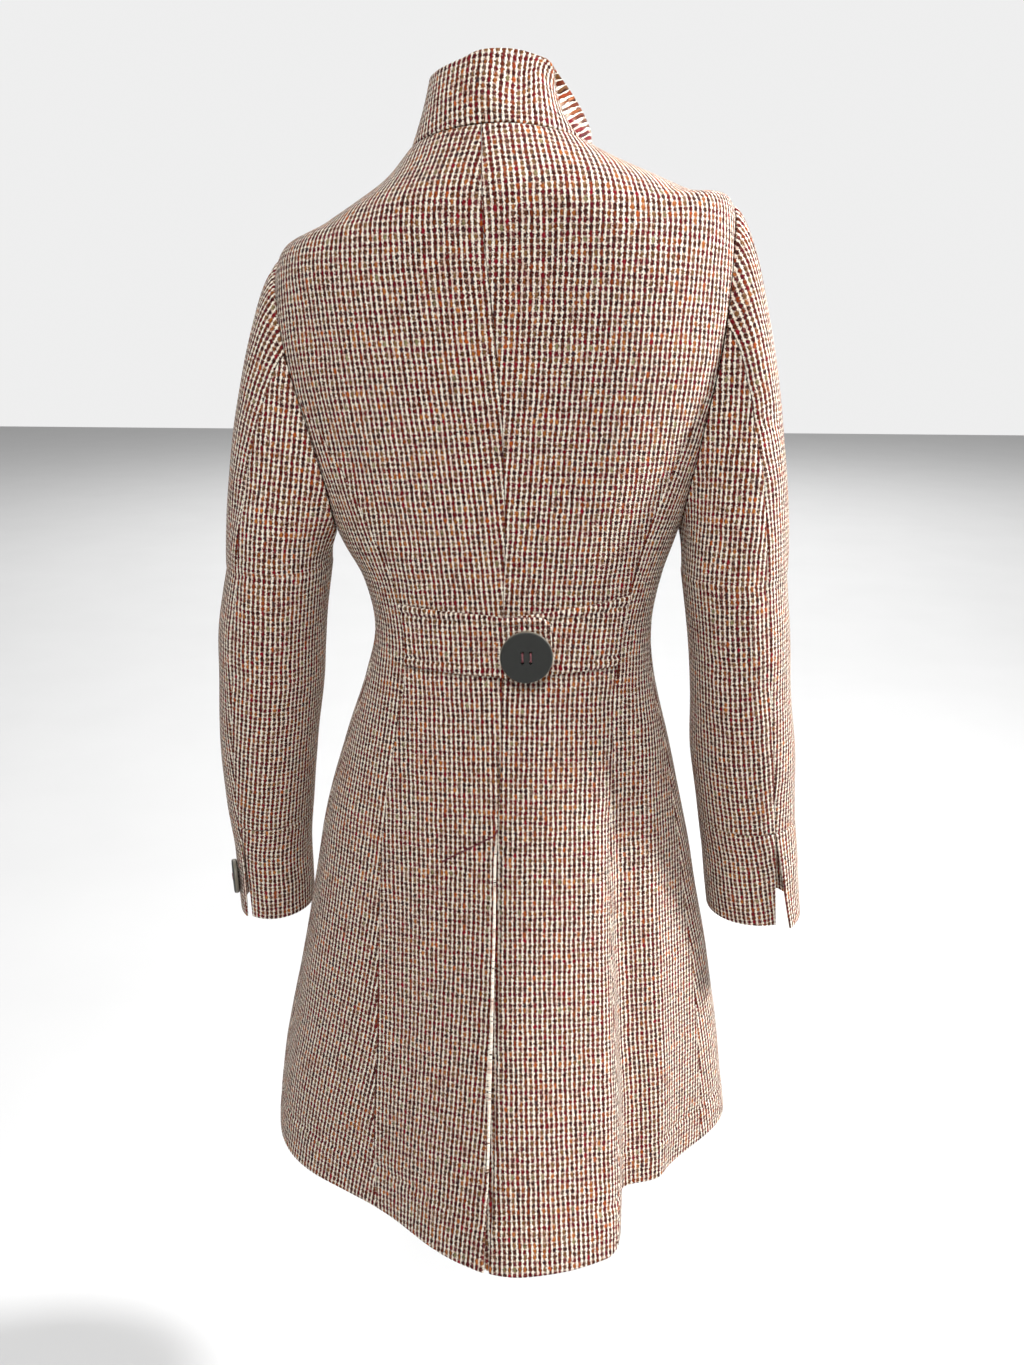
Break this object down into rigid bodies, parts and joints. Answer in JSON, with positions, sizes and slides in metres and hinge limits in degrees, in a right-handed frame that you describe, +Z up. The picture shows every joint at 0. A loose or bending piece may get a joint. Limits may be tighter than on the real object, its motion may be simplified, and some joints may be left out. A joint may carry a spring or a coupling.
{
  "type": "coat",
  "caption": "Fitted knee-length tweed coat with a stand collar, princess seams, a buttoned half belt at the back, a lapped back vent and slit cuffs, in its worn form",
  "frame": {"origin": "On the body's upright axis, at the height of the collar seam at the centre back, where the wearer's neck and shoulders hold the coat up", "axes": "+Z up. -Y towards the front of the wearer, +X towards the wearer's left"},
  "size_m": [0.5631, 0.4361, 0.9593],
  "materials": {
    "tweed": "coarse woven wool tweed, cream cords over burgundy, brown and grey",
    "button": "matt, with a polished rim"
  },
  "bodies": {
    "root": {"back_left": "tweed", "back_right": "tweed", "front_left": "tweed", "front_right": "tweed", "side_back_left": "tweed", "side_back_right": "tweed", "side_front_left": "tweed", "side_front_right": "tweed", "upper_sleeve_left": "tweed", "upper_sleeve_right": "tweed", "under_sleeve_left": "tweed", "under_sleeve_right": "tweed", "cuff_left": "tweed", "cuff_right": "tweed", "collar": "tweed", "half_belt_left": "tweed", "half_belt_right": "tweed", "belt_button": "button", "cuff_button_left": "button", "cuff_button_right": "button", "front_button_1": "button", "front_button_2": "button", "front_button_3": "button", "front_button_4": "button"}
  },
  "joints": []
}
